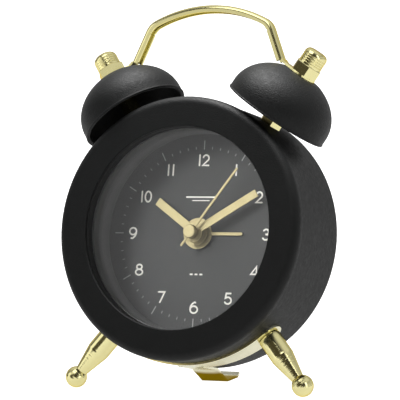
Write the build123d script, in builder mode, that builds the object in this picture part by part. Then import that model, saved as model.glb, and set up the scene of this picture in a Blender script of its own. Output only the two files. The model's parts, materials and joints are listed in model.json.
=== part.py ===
"""A small twin-bell alarm clock, in millimetres.

Row frame: +X to the right, -Y to the front, +Z up, with the origin on the floor under the middle
of the clock. The case leans back, so most pieces are placed by the dial's own directions: u to the
right, v up the dial, and w out of the dial towards the front. The dial's centre is u = v = w = 0.
"""

import os
from math import asin, cos, degrees, radians, sin, sqrt, tan

from build123d import *

# ---- driving dimensions ----
LEAN = 14.5
RUNNING = 0.05

CASE_R = 34.0
CASE_SHEET = 0.7
CASE_REAR_W = -13.6
CASE_REAR_ROUND = 3.0
CASE_LIP_R = 30.2

BEZEL_R = 34.2
BEZEL_FRONT_W = 14.0
BEZEL_EDGE_ROUND = 2.0
BEZEL_LIP_ROUND = 0.3
BEZEL_REAR_W = 11.0
BEZEL_LIP_R = 26.2
BEZEL_LIP_THICK = 0.5
BEZEL_GROOVE = 0.8
COLLAR_FRONT_W = 12.9
COLLAR_ROUND = 0.2

LENS_FRONT_W = 10.2
LENS_THICK = 1.4
LENS_R = 28.4
DIAL_R = 30.4
DIAL_THICK = 0.5

SPOKE_W = 1.5
BELL_ANGLE = 33.6
BELL_RIM_R = 14.16
BELL_RIM_AT = 36.75
BELL_SKIRT = 2.1
BELL_DOME = 11.0
BELL_CROWN = 10.2
BELL_SHEET = 0.9
POST_R = 1.5
POST_HOLE_R = 1.6
SPACER_R = 2.3
NUT_FLATS = 5.5
CAP_FLATS = 6.6
CAP_HEX_HIGH = 2.9
CAP_HIGH = 7.0
CAP_BORE_DEEP = 4.2
THREAD_GAP = 0.02
COLLAR_HIGH = 1.98
INNER_NUT_HIGH = 2.0

HANDLE_WIDTH = 3.0
HANDLE_DEPTH = 1.9
HANDLE_SHEET = 0.6
HANDLE_ROUND = 1.1
HANDLE_TOP = 60.1
CROWN_R = 36.0
CROWN_HALF = 15.95
LEG_SLOPE = 67.4
SHOULDER_ROUND = 5.0
KNEE_ROUND = 2.5
EYELET_R = 3.5

FOOT_ANGLE = 40.4
BALL_R = 2.83
BALL_AT = 50.39
LEG_R = 3.0
STRAP_SHEET = 0.6
STRAP_WIDTH = 8.0
STRAP_FORWARD = 0.5
TONGUE_BEND = 8.2
TOE_HEEL = 14.6
TOE_TIP = 20.6
TOE_WIDTH = 7.4

HOUR_ANGLE = -55.0
MINUTE_ANGLE = 59.0
SECOND_ANGLE = 36.0
ALARM_ANGLE = 90.0

MODULE = 0.2

# ---- distances from the case axis along a bell's post ----
COLLAR_AT = CASE_R + 0.15
INNER_NUT_AT = CASE_R - CASE_SHEET - 0.2 - INNER_NUT_HIGH
STUD_AT = INNER_NUT_AT - 0.6
EYELET_AT = BELL_RIM_AT + BELL_SKIRT + BELL_CROWN + 0.02
CAP_AT = EYELET_AT + HANDLE_SHEET

# ---- the dial's directions in the row frame ----
TILT = radians(LEAN)
FOOT_TURN = radians(FOOT_ANGLE)
DIAL_HEIGHT = BALL_R + BALL_AT * cos(FOOT_TURN) * cos(TILT) - SPOKE_W * sin(TILT)
FRONT_REACH = (
    (BEZEL_R - BEZEL_EDGE_ROUND) * sin(TILT)
    + (BEZEL_FRONT_W - BEZEL_EDGE_ROUND) * cos(TILT)
    + BEZEL_EDGE_ROUND
)
REAR_REACH = (
    (CASE_R - CASE_REAR_ROUND) * sin(TILT)
    + (-CASE_REAR_W - CASE_REAR_ROUND) * cos(TILT)
    + CASE_REAR_ROUND
)
DIAL_CENTRE = Vector(0, (FRONT_REACH - REAR_REACH) / 2, DIAL_HEIGHT)
DIRECTION_U = Vector(1, 0, 0)
DIRECTION_V = Vector(0, sin(TILT), cos(TILT))
DIRECTION_W = Vector(0, -cos(TILT), sin(TILT))

FACE = Plane(origin=DIAL_CENTRE, x_dir=DIRECTION_U, z_dir=DIRECTION_W)
SECTION = Plane(origin=DIAL_CENTRE, x_dir=DIRECTION_U, z_dir=-DIRECTION_V)
SIDE = Plane(origin=DIAL_CENTRE, x_dir=-DIRECTION_W, z_dir=DIRECTION_U)
CASE_AXIS = Axis(DIAL_CENTRE, DIRECTION_W)


def spoke(angle, w=SPOKE_W):
    """A plane square to the case axis whose y runs outwards at an angle clockwise from the top."""
    turn = radians(angle)
    across = DIRECTION_U * cos(turn) - DIRECTION_V * sin(turn)
    return Plane(origin=DIAL_CENTRE + DIRECTION_W * w, x_dir=across, z_dir=DIRECTION_W)


def spoke_top(angle, radial):
    """A plane square to a spoke, at a distance from the case axis, facing outwards."""
    flat = spoke(angle)
    return Plane(origin=flat.origin + flat.y_dir * radial, x_dir=flat.x_dir, z_dir=flat.y_dir)


def write(piece, name):
    """Label a finished sub-part and write its STEP file."""
    piece.part.label = name
    export_step(piece.part, f"parts/{name}.step")


def ring(inner, outer, w_low, w_high):
    """A plain ring about the case axis, or a disc if inner is 0."""
    with BuildPart() as piece:
        with BuildSketch(FACE.offset(w_low)):
            Circle(outer)
            if inner:
                Circle(inner, mode=Mode.SUBTRACT)
        extrude(amount=w_high - w_low)
    return piece


# ---- battery bay, knobs and switch, seen along the case axis ----
BAY_V = -14.2
BAY_WIDE = 46.0
BAY_HIGH = 10.5
BAY_WALL = 0.8
COVER_PLATE = 1.3
BAY_FRONT_W = -2.2
DOOR_WIDE = 44.8
DOOR_HIGH = 11.2
DOOR_THICK = 0.9
BATTERY_R = 5.15
BATTERY_LONG = 42.0
BATTERY_W = -7.3
STEM_R = 0.6
SCREW_R = 1.0
SWITCH_AT = (0.0, 18.5)
SWITCH_TRAVEL = 4.0
SWITCH_NECK = 2.4
SWITCH_SLOT = 2.2
GRILLE_R = 2.4
GRILLE_HOLE_R = 0.6
BUZZER_AT = (-21.5, 6.0)
BUZZER_R = 5.2
BUZZER_HIGH = 4.5
BUZZER_PORT_R = 1.0
PILLARS = ((0.0, 26.1), (-26.5, -4.4), (26.8, -4.4))
PILLAR_R = 2.4

# ---- going train: wheel centres (u, v), tooth counts and modules ----
BIG_MODULE = 0.25
SMALL_MODULE = 0.145
CENTRE = (0.0, 0.0)
CANNON_TEETH, MINUTE_WHEEL_TEETH = 12, 36
MINUTE_PINION_TEETH, HOUR_TEETH = 10, 40
THIRD_TEETH, THIRD_PINION_TEETH = 60, 8
SECOND_PINION_TEETH, CENTRE_TEETH = 8, 64
SECOND_TEETH, STEP_PINION_TEETH = 30, 10
STEP_TEETH, ROTOR_TEETH = 60, 6
ALARM_TEETH, ALARM_PINION_TEETH = 40, 20


def away(start, distance, angle):
    """A point at a distance and an angle, counter-clockwise from the right, from another point."""
    return (start[0] + distance * cos(radians(angle)), start[1] + distance * sin(radians(angle)))


MOTION_GAP = BIG_MODULE * (CANNON_TEETH + MINUTE_WHEEL_TEETH) / 2
HOUR_MODULE = 2 * MOTION_GAP / (MINUTE_PINION_TEETH + HOUR_TEETH)
THIRD_GAP = MODULE * (THIRD_TEETH + SECOND_PINION_TEETH) / 2
CENTRE_MODULE = 2 * THIRD_GAP / (THIRD_PINION_TEETH + CENTRE_TEETH)
STEP_GAP = BIG_MODULE * (SECOND_TEETH + STEP_PINION_TEETH) / 2
ROTOR_GAP = SMALL_MODULE * (STEP_TEETH + ROTOR_TEETH) / 2
ALARM_GAP = BIG_MODULE * (ALARM_TEETH + ALARM_PINION_TEETH) / 2
MINUTE_WAY, TIME_WAY = 37.0, 30.0
THIRD_WAY, ALARM_WAY = 140.0, 210.0
STEP_WAY, ROTOR_WAY = -20.0, 8.0

MINUTE_AT = away(CENTRE, MOTION_GAP, MINUTE_WAY)
TIME_STEM = away(MINUTE_AT, MOTION_GAP, TIME_WAY)
THIRD_AT = away(CENTRE, THIRD_GAP, THIRD_WAY)
STEP_AT = away(CENTRE, STEP_GAP, STEP_WAY)
ROTOR_AT = away(STEP_AT, ROTOR_GAP, ROTOR_WAY)
ALARM_STEM = away(CENTRE, ALARM_GAP, ALARM_WAY)


def meshing(way, phase, teeth, other_teeth):
    """The angle of a tooth on a gear that meshes with another gear lying the other way along a line."""
    along = (phase - way) * teeth / 360 + 0.5
    return way + 180 - along * 360 / other_teeth


def gear_points(at, teeth, module, phase):
    """The outline of a small clock gear with straight-sided teeth, thinned for backlash."""
    pitch_r = module * teeth / 2
    step = 360 / teeth
    corners = ((pitch_r - 1.15 * module, 0.29), (pitch_r + 0.75 * module, 0.11))
    points = []
    for tooth in range(teeth):
        middle = phase + tooth * step
        for radius, half in corners:
            points.append(away(at, radius, middle - half * step))
        for radius, half in reversed(corners):
            points.append(away(at, radius, middle + half * step))
    return points


def gear(at, teeth, module, phase, w_low, w_high):
    """Add one toothed disc to the part being built."""
    with BuildSketch(FACE.offset(w_low)) as disc:
        with BuildLine():
            Polyline(*gear_points(at, teeth, module, phase), close=True)
        make_face()
    extrude(disc.sketch, amount=w_high - w_low)


def rod(at, radius, w_low, w_high, mode=Mode.ADD):
    """Add or cut one round length along the case axis direction in the part being built."""
    with BuildSketch(FACE.offset(w_low)) as disc:
        with Locations(at):
            Circle(radius)
    extrude(disc.sketch, amount=w_high - w_low, mode=mode)


# ---- heights of the layers behind the dial ----
CHASSIS_FRONT_W = -DIAL_THICK - 0.05
CHASSIS_REAR_W = -2.1
BRIDGE_W = (-6.2, -5.6)
BRIDGE_AT = (0.2, 2.1)
BRIDGE_SIZE = (24.2, 17.6)
COVER_INNER_W = -9.0
COVER_OUTER_W = -10.0
ALARM_LAYER = (-2.9, -2.3)
HOUR_LAYER = (-3.7, -3.1)
CANNON_LAYER = (-4.75, -3.9)
MINUTE_LAYER = (-4.6, -4.1)
CENTRE_LAYER = (-5.3, -4.9)
THIRD_PINION_LAYER = (-5.45, -4.75)
THIRD_LAYER = (-6.9, -6.5)
SECOND_LAYER = (-7.6, -7.2)
STEP_LAYER = (-8.3, -7.9)

STATOR_LAYER = (-7.4, -6.7)
STATOR_BARS = (
    ((11.0, -1.2), (8.8, 4.4)),
    ((13.7, 1.5), (1.4, 15.6)),
    ((16.9, -5.2), (7.8, 2.2)),
    ((16.9, 8.2), (7.8, 2.2)),
    ((19.0, 1.5), (1.4, 15.6)),
)
COIL_U = 19.0
COIL_BAR = 1.4
COIL_SPAN = (-3.9, 6.9)
BOARD_LAYER = (-2.9, -2.15)
ROTOR_LAYER = (-7.5, -6.5)
ROTOR_R = 1.2
KNOB_W = (-18.0, -14.2)
KNOB_R = 3.6
HAND_THICK = 0.3
ALARM_HAND_W = 0.4
HOUR_HAND_W = 1.3
MINUTE_HAND_W = 2.9
SECOND_HAND_W = 4.3
SECOND_CAP_W = 5.8
SECOND_LONG = 20.5
SECOND_TAIL = 4.6
SECOND_HUB_R = 1.8

SECOND_ARBOR_R = 0.45
MINUTE_TUBE = (SECOND_ARBOR_R + RUNNING, 1.1)
HOUR_TUBE = (MINUTE_TUBE[1] + RUNNING, 1.75)
ALARM_TUBE = (HOUR_TUBE[1] + RUNNING, 2.5)
PIVOT_R = 0.35
ROTOR_PIVOT_R = 0.25
MINUTE_POST_R = 0.5
ARBOR_R = 0.45

MOVEMENT_BOX = (-13.0, -7.8, 24.0, 12.0)


def movement_outline():
    """The moulded movement case's outline, drawn in the open sketch."""
    left, low, right, high = MOVEMENT_BOX
    with Locations(((left + right) / 2, (low + high) / 2)):
        RectangleRounded(right - left, high - low, 1.5)



# ---- case ----
def case_drum():
    """The rolled sheet barrel with its rounded rear edge and the four post holes."""
    rear = CASE_REAR_W
    bend = CASE_REAR_ROUND
    inner_bend = bend - CASE_SHEET
    front = BEZEL_REAR_W - 0.15
    diagonal = sqrt(0.5)
    with BuildPart() as piece:
        with BuildSketch(SECTION):
            with BuildLine():
                Line((CASE_R, front), (CASE_R, rear + bend))
                ThreePointArc(
                    (CASE_R, rear + bend),
                    (CASE_R - bend + bend * diagonal, rear + bend - bend * diagonal),
                    (CASE_R - bend, rear),
                )
                Line((CASE_R - bend, rear), (CASE_LIP_R, rear))
                Line((CASE_LIP_R, rear), (CASE_LIP_R, rear + CASE_SHEET))
                Line((CASE_LIP_R, rear + CASE_SHEET), (CASE_R - bend, rear + CASE_SHEET))
                ThreePointArc(
                    (CASE_R - bend, rear + CASE_SHEET),
                    (CASE_R - bend + inner_bend * diagonal, rear + bend - inner_bend * diagonal),
                    (CASE_R - CASE_SHEET, rear + bend),
                )
                Line((CASE_R - CASE_SHEET, rear + bend), (CASE_R - CASE_SHEET, front))
                Line((CASE_R - CASE_SHEET, front), (CASE_R, front))
            make_face()
        revolve(axis=CASE_AXIS)
        for angle in (-BELL_ANGLE, BELL_ANGLE, 180 - FOOT_ANGLE, 180 + FOOT_ANGLE):
            with BuildSketch(spoke_top(angle, CASE_R - 3)):
                Circle(POST_HOLE_R)
            extrude(amount=5, mode=Mode.SUBTRACT)
    return piece


def bezel():
    """The front ring: a thin lip over a groove, a skirt that butts on the drum, and a spigot inside it."""
    spigot_r = CASE_R - CASE_SHEET - 0.05
    groove_r = BEZEL_LIP_R + BEZEL_GROOVE
    with BuildPart() as piece:
        with BuildSketch(SECTION) as profile:
            with BuildLine():
                Polyline(
                    (groove_r, LENS_FRONT_W + 0.9),
                    (groove_r, BEZEL_FRONT_W - BEZEL_LIP_THICK),
                    (BEZEL_LIP_R, BEZEL_FRONT_W - BEZEL_LIP_THICK),
                    (BEZEL_LIP_R, BEZEL_FRONT_W),
                    (BEZEL_R, BEZEL_FRONT_W - 0.15),
                    (BEZEL_R, BEZEL_REAR_W),
                    (spigot_r, BEZEL_REAR_W),
                    (spigot_r, BEZEL_REAR_W - 2.6),
                    (spigot_r - 1.2, BEZEL_REAR_W - 2.6),
                    (spigot_r - 1.2, LENS_FRONT_W + 0.9),
                    close=True,
                )
            make_face()
            fillet(profile.vertices().group_by(Axis.X)[-1].sort_by(Axis.Y)[-1], BEZEL_EDGE_ROUND)
            fillet(profile.vertices().group_by(Axis.X)[0].sort_by(Axis.Y)[-1], BEZEL_LIP_ROUND)
        revolve(axis=CASE_AXIS)
    return piece


def lens_collar():
    """The collar that lines the bezel's opening in front of the lens and presses on its edge."""
    outer_r = BEZEL_LIP_R + BEZEL_GROOVE - 0.05
    with BuildPart() as piece:
        with BuildSketch(SECTION) as profile:
            with BuildLine():
                Polyline(
                    (BEZEL_LIP_R, LENS_FRONT_W + 0.05),
                    (BEZEL_LIP_R, COLLAR_FRONT_W),
                    (outer_r, COLLAR_FRONT_W),
                    (outer_r, LENS_FRONT_W + 0.85),
                    (LENS_R, LENS_FRONT_W + 0.85),
                    (LENS_R, LENS_FRONT_W + 0.05),
                    close=True,
                )
            make_face()
            fillet(profile.vertices().group_by(Axis.X)[0].sort_by(Axis.Y)[-1], COLLAR_ROUND)
        revolve(axis=CASE_AXIS)
    return piece


def back_cover():
    """The moulded rear cover with the battery bay, the knob holes and the switch slot."""
    plate_w = CASE_REAR_W + CASE_SHEET
    inner_w = plate_w + COVER_PLATE
    bay_deep = BAY_FRONT_W - inner_w
    with BuildPart() as piece:
        with BuildSketch(FACE.offset(plate_w)):
            Circle(CASE_R - CASE_REAR_ROUND - RUNNING)
        extrude(amount=COVER_PLATE)
        with BuildSketch(FACE.offset(CASE_REAR_W + 0.1)):
            Circle(CASE_LIP_R - 0.15)
        extrude(amount=CASE_SHEET)
        with BuildSketch(FACE.offset(inner_w)):
            with Locations((0, BAY_V)):
                Rectangle(BAY_WIDE + 2 * BAY_WALL, BAY_HIGH + 2 * BAY_WALL)
        extrude(amount=bay_deep)
        with BuildSketch(FACE.offset(CASE_REAR_W)):
            with Locations((0, BAY_V)):
                Rectangle(DOOR_WIDE - 1.2, BAY_HIGH)
        extrude(amount=BAY_FRONT_W - CASE_REAR_W + 1, mode=Mode.SUBTRACT)
        with BuildSketch(FACE.offset(inner_w)):
            with Locations((0, BAY_V)):
                Rectangle(BAY_WIDE, BAY_HIGH)
        extrude(amount=bay_deep + 1, mode=Mode.SUBTRACT)
        with BuildSketch(FACE.offset(CASE_REAR_W - 1)):
            with Locations((0, BAY_V)):
                Rectangle(DOOR_WIDE, DOOR_HIGH)
        extrude(amount=DOOR_THICK + 1.2, mode=Mode.SUBTRACT)
        with BuildSketch(FACE.offset(CASE_REAR_W - 1)):
            for at in (TIME_STEM, ALARM_STEM):
                with Locations(at):
                    Circle(STEM_R + 0.15)
            with Locations(*PILLARS):
                Circle(SCREW_R + 0.1)
            with Locations(SWITCH_AT):
                Rectangle(SWITCH_TRAVEL + SWITCH_NECK + 0.6, SWITCH_SLOT)
            with Locations(BUZZER_AT):
                with PolarLocations(GRILLE_R, 6):
                    Circle(GRILLE_HOLE_R)
        extrude(amount=CASE_SHEET + COVER_PLATE + 2, mode=Mode.SUBTRACT)
    return piece


def hand(angle, hub_r, bore, length, half_width, tip_r, w_low):
    """A flat straight hand on a round hub, pointing clockwise from twelve, with a rounded tip."""
    with BuildPart() as piece:
        with BuildSketch(spoke(angle, w_low)):
            Circle(hub_r)
            with Locations((0, length / 2)):
                shaft = Rectangle(2 * half_width, length)
            fillet(shaft.vertices().group_by(SortBy.DISTANCE)[-1], tip_r)
            Circle(bore, mode=Mode.SUBTRACT)
        extrude(amount=HAND_THICK)
    return piece


# ---- bells, handle and feet ----
def nut(angle, low, high):
    """A thin hexagonal nut on a spoke's stud: its distance from the case axis and its height."""
    with BuildPart() as piece:
        with BuildSketch(spoke_top(angle, low)):
            RegularPolygon(NUT_FLATS / 2, 6, major_radius=False)
            Circle(POST_R + THREAD_GAP, mode=Mode.SUBTRACT)
        extrude(amount=high)
        ends = piece.edges().filter_by(GeomType.LINE).group_by(Axis(DIAL_CENTRE, spoke(angle).y_dir))
        chamfer(ends[-1], 0.25)
    return piece


def bell(angle):
    """A pressed half-round bell with a short straight skirt and a flat seat with a hole on its crown."""
    flat = spoke(angle)
    rim = BELL_RIM_AT
    inner_r = BELL_RIM_R - BELL_SHEET
    inner_dome = BELL_CROWN - BELL_SHEET
    shoulder = rim + BELL_SKIRT
    with BuildPart() as piece:
        with BuildSketch(flat):
            with BuildLine():
                Line((inner_r, rim), (BELL_RIM_R, rim))
                Line((BELL_RIM_R, rim), (BELL_RIM_R, shoulder))
                EllipticalCenterArc((0, shoulder), BELL_RIM_R, BELL_DOME, arc_size=90)
                Line((0, shoulder + BELL_DOME), (0, shoulder + inner_dome))
                EllipticalCenterArc((0, shoulder), inner_r, inner_dome, arc_size=90)
                Line((inner_r, shoulder), (inner_r, rim))
            make_face()
        revolve(axis=Axis(flat.origin, flat.y_dir))
        with BuildSketch(spoke_top(angle, rim)):
            Circle(POST_HOLE_R)
        extrude(amount=BELL_SKIRT + BELL_DOME + 1, mode=Mode.SUBTRACT)
        with BuildSketch(spoke_top(angle, shoulder + BELL_CROWN)):
            Circle(BELL_RIM_R)
        extrude(amount=BELL_DOME, mode=Mode.SUBTRACT)
        rim_edges = piece.edges().filter_by(GeomType.CIRCLE).group_by(Axis(DIAL_CENTRE, flat.y_dir))
        fillet(rim_edges[0], 0.3)
    return piece


def bell_post(angle):
    """The threaded stud from inside the case up into the cap nut."""
    with BuildPart() as piece:
        with BuildSketch(spoke_top(angle, STUD_AT)):
            Circle(POST_R)
        extrude(amount=CAP_AT + CAP_BORE_DEEP - 0.8 - STUD_AT)
    return piece


def bell_spacer(angle):
    """The turned sleeve that carries the bell's crown above the collar nut."""
    crown_inside = BELL_RIM_AT + BELL_SKIRT + BELL_CROWN - BELL_SHEET - 0.18
    start = COLLAR_AT + COLLAR_HIGH + 0.02
    with BuildPart() as piece:
        with BuildSketch(spoke_top(angle, start)):
            Circle(SPACER_R)
            Circle(POST_HOLE_R, mode=Mode.SUBTRACT)
        extrude(amount=crown_inside - start)
    return piece


def cap_nut(angle):
    """A dome nut: a hexagon under a turned cylinder with grooves and a rounded end."""
    flat = spoke(angle)
    base = CAP_AT
    barrel_r = 3.2
    end_round = 1.5
    low = base + CAP_HEX_HIGH - 0.5
    grooves = 4
    groove_pitch = 0.62
    with BuildPart() as piece:
        with BuildSketch(spoke_top(angle, base)):
            RegularPolygon(CAP_FLATS / 2, 6, major_radius=False)
        extrude(amount=CAP_HEX_HIGH)
        ends = piece.edges().filter_by(GeomType.LINE).group_by(Axis(DIAL_CENTRE, flat.y_dir))
        chamfer(ends[-1], 0.3)
        with BuildSketch(flat):
            with BuildLine():
                end = base + CAP_HIGH
                Line((0, low), (barrel_r, low))
                Line((barrel_r, low), (barrel_r, end - end_round))
                RadiusArc((barrel_r, end - end_round), (barrel_r - end_round, end), -end_round)
                Line((barrel_r - end_round, end), (0, end))
                Line((0, end), (0, low))
            make_face()
            for groove in range(grooves):
                with Locations((barrel_r + 0.05, base + CAP_HEX_HIGH + 0.55 + groove * groove_pitch)):
                    Circle(0.15, mode=Mode.SUBTRACT)
        revolve(axis=Axis(flat.origin, flat.y_dir))
        with BuildSketch(spoke_top(angle, base)):
            Circle(POST_R + THREAD_GAP)
        extrude(amount=CAP_BORE_DEEP, mode=Mode.SUBTRACT)
    return piece


def handle():
    """The pressed channel handle: a crowned channel on flat feet with eyelets under the cap nuts."""
    flat = FACE.offset(SPOKE_W)
    turn = radians(BELL_ANGLE)
    slope = radians(LEG_SLOPE)
    crown_r = CROWN_R - HANDLE_SHEET / 2
    crown_turn = asin(CROWN_HALF / crown_r)
    eye = Vector(sin(turn), cos(turn)) * (EYELET_AT + HANDLE_SHEET / 2)
    shoulder_end = Vector(
        CROWN_HALF + SHOULDER_ROUND * (sin(slope) - sin(crown_turn)),
        HANDLE_TOP - HANDLE_SHEET / 2 - crown_r + crown_r * cos(crown_turn)
        - SHOULDER_ROUND * (cos(crown_turn) - cos(slope)),
    )
    leg_way = Vector(cos(slope), -sin(slope))
    foot_way = Vector(cos(turn), -sin(turn))
    span = eye - shoulder_end
    leg_long = span.cross(foot_way).Z / leg_way.cross(foot_way).Z
    foot_long = (eye - shoulder_end - leg_way * leg_long).length
    knee_back = KNEE_ROUND * tan((slope - turn) / 2)
    strap_start = foot_long - knee_back
    top = HANDLE_SHEET / 2
    with BuildLine() as channel:
        crown = JernArc((0, HANDLE_TOP - HANDLE_SHEET / 2), (1, 0), crown_r, -degrees(crown_turn))
        shoulder = JernArc(crown @ 1, crown % 1, SHOULDER_ROUND, degrees(crown_turn) - LEG_SLOPE)
        PolarLine(shoulder @ 1, leg_long - knee_back, direction=shoulder % 1)
    with BuildLine() as strip:
        leg_end = shoulder_end + leg_way * (leg_long - knee_back)
        knee = JernArc(leg_end, leg_way, KNEE_ROUND, LEG_SLOPE - BELL_ANGLE)
        PolarLine(knee @ 1, strap_start, direction=knee % 1)
    channel_rail = channel.wires()[0].moved(flat.location)
    strip_rail = strip.wires()[0].moved(flat.location)
    with BuildPart() as piece:
        with BuildSketch(Plane(origin=channel_rail @ 0, x_dir=-DIRECTION_W, z_dir=DIRECTION_U)):
            with Locations((0, top - HANDLE_DEPTH)):
                RectangleRounded(HANDLE_WIDTH, 2 * HANDLE_DEPTH, HANDLE_ROUND)
                RectangleRounded(
                    HANDLE_WIDTH - 2 * HANDLE_SHEET,
                    2 * (HANDLE_DEPTH - HANDLE_SHEET),
                    HANDLE_ROUND - HANDLE_SHEET,
                    mode=Mode.SUBTRACT,
                )
            with Locations((0, top - 1.5 * HANDLE_DEPTH)):
                Rectangle(HANDLE_WIDTH, HANDLE_DEPTH, mode=Mode.SUBTRACT)
        sweep(path=channel_rail)
        with BuildSketch(Plane(origin=strip_rail @ 0, x_dir=DIRECTION_W, z_dir=strip_rail % 0)):
            Rectangle(HANDLE_WIDTH, HANDLE_SHEET)
        sweep(path=strip_rail)
        with BuildSketch(spoke_top(BELL_ANGLE, EYELET_AT)):
            with BuildLine():
                CenterArc((0, 0), EYELET_R, 0, 360)
                Line((-strap_start, -HANDLE_WIDTH / 2), (-strap_start, HANDLE_WIDTH / 2))
            make_hull()
        extrude(amount=HANDLE_SHEET)
        with BuildSketch(spoke_top(BELL_ANGLE, EYELET_AT - 1)):
            Circle(POST_HOLE_R)
        extrude(amount=HANDLE_SHEET + 2, mode=Mode.SUBTRACT)
        with BuildSketch(flat):
            with Locations(shoulder_end + Vector(-sin(slope), -cos(slope)) * HANDLE_DEPTH):
                Circle(0.45)
        extrude(amount=HANDLE_WIDTH, both=True, mode=Mode.SUBTRACT)
        mirror(about=Plane(origin=DIAL_CENTRE, z_dir=DIRECTION_U))
    return piece


def foot(angle):
    """A turned brass foot: a straight barrel, a taper, a narrow neck and a ball, with its stud."""
    flat = spoke(angle)
    seat = CASE_R + 0.05 + STRAP_SHEET + 0.05
    taper_at = BALL_AT - 9.2
    neck_r = 1.65
    neck_at = BALL_AT - sqrt(BALL_R**2 - neck_r**2)
    with BuildPart() as piece:
        with BuildSketch(flat):
            with BuildLine():
                Polyline(
                    (0, STUD_AT),
                    (POST_R, STUD_AT),
                    (POST_R, seat),
                    (LEG_R - 0.2, seat),
                    (LEG_R, seat + 0.2),
                    (LEG_R, taper_at),
                    (neck_r, neck_at),
                )
                ThreePointArc((neck_r, neck_at), (BALL_R, BALL_AT), (0, BALL_AT + BALL_R))
                Line((0, BALL_AT + BALL_R), (0, STUD_AT))
            make_face()
        revolve(axis=Axis(flat.origin, flat.y_dir))
    return piece


def stand_strap():
    """The sprung brass strip under the case with its rear tongue, whose toe lies flat on the floor."""
    inner_r = CASE_R + 0.05
    outer_r = inner_r + STRAP_SHEET
    middle_v = -(inner_r + outer_r) / 2
    half = STRAP_WIDTH / 2
    low_w = SPOKE_W + STRAP_FORWARD - half
    floor_drop = DIAL_HEIGHT - STRAP_SHEET / 2
    wedge = radians(FOOT_ANGLE + 8)
    reach = 2 * CASE_R

    def on_floor(back):
        """The mid-line of the sheet lying on the floor, at a distance behind the dial plane."""
        return (back, (back * sin(TILT) - floor_drop) / cos(TILT))

    with BuildPart() as piece:
        with BuildSketch(FACE.offset(low_w)):
            Circle(outer_r)
            Circle(inner_r, mode=Mode.SUBTRACT)
        extrude(amount=STRAP_WIDTH)
        with BuildSketch(FACE.offset(low_w)):
            Circle(CASE_R + 5)
            with BuildLine():
                Polyline(
                    (0, 0),
                    (-reach * sin(wedge), -reach * cos(wedge)),
                    (0, -2 * reach),
                    (reach * sin(wedge), -reach * cos(wedge)),
                    close=True,
                )
            make_face(mode=Mode.SUBTRACT)
        extrude(amount=STRAP_WIDTH, mode=Mode.SUBTRACT)
        for angle, outward in ((180 - FOOT_ANGLE, -1), (180 + FOOT_ANGLE, 1)):
            with BuildSketch(spoke_top(angle, CASE_R - 1)):
                with Locations((outward * STRAP_WIDTH / 2, -STRAP_FORWARD)):
                    Rectangle(STRAP_WIDTH, 2 * STRAP_WIDTH)
                with Locations((0, -STRAP_FORWARD)):
                    Circle(half, mode=Mode.SUBTRACT)
                Circle(POST_HOLE_R)
            extrude(amount=3, mode=Mode.SUBTRACT)
        with BuildSketch(SIDE):
            with BuildLine():
                FilletPolyline(
                    (-low_w - 2.0, middle_v),
                    (TONGUE_BEND, middle_v),
                    on_floor(TOE_HEEL),
                    on_floor(TOE_TIP),
                    (TOE_TIP + 0.9, on_floor(TOE_TIP)[1] + 1.1),
                    radius=0.8,
                )
            trace(line_width=STRAP_SHEET)
        extrude(amount=TOE_WIDTH / 2, both=True)
    return piece


# ---- movement ----
def movement_base():
    """The round moulded chassis behind the dial, with the hands' guide tube and its screw pillars."""
    cover_top = CASE_REAR_W + CASE_SHEET + COVER_PLATE
    with BuildPart() as piece:
        with BuildSketch(FACE.offset(CHASSIS_REAR_W)):
            Circle(DIAL_R)
        extrude(amount=CHASSIS_FRONT_W - CHASSIS_REAR_W)
        rod(CENTRE, ALARM_TUBE[1] + RUNNING + 0.9, CHASSIS_REAR_W, 0.1)
        with BuildSketch(FACE.offset(cover_top)):
            with Locations(*PILLARS):
                Circle(PILLAR_R)
        extrude(amount=CHASSIS_REAR_W - cover_top)
        with BuildSketch(FACE.offset(cover_top)):
            with Locations(*PILLARS):
                Circle(SCREW_R)
        extrude(amount=6, mode=Mode.SUBTRACT)
        rod(CENTRE, ALARM_TUBE[1] + RUNNING, CHASSIS_REAR_W, 0.2, Mode.SUBTRACT)
        rod(THIRD_AT, PIVOT_R + RUNNING, CHASSIS_REAR_W, CHASSIS_REAR_W + 0.8, Mode.SUBTRACT)
        rod(ALARM_STEM, STEM_R + RUNNING, CHASSIS_REAR_W, CHASSIS_REAR_W + 0.8, Mode.SUBTRACT)
        rod(MINUTE_AT, MINUTE_POST_R, MINUTE_LAYER[0] - 0.1, CHASSIS_REAR_W)
    return piece


def movement_cover():
    """The moulded box over the wheels, with its bearings and the two stem holes."""
    left, low, right, high = MOVEMENT_BOX
    wall = 1.0
    with BuildPart() as piece:
        with BuildSketch(FACE.offset(COVER_OUTER_W)):
            movement_outline()
        extrude(amount=CHASSIS_REAR_W - COVER_OUTER_W)
        with BuildSketch(FACE.offset(COVER_INNER_W)):
            with Locations(((left + right) / 2, (low + high) / 2)):
                Rectangle(right - left - 2 * wall, high - low - 2 * wall)
        extrude(amount=CHASSIS_REAR_W - COVER_INNER_W, mode=Mode.SUBTRACT)
        for at in (CENTRE, THIRD_AT, STEP_AT, ROTOR_AT):
            rod(at, PIVOT_R + RUNNING, COVER_INNER_W - 0.7, COVER_INNER_W, Mode.SUBTRACT)
        for at in (TIME_STEM, ALARM_STEM):
            rod(at, STEM_R + RUNNING, COVER_OUTER_W, COVER_INNER_W, Mode.SUBTRACT)
    return piece


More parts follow.
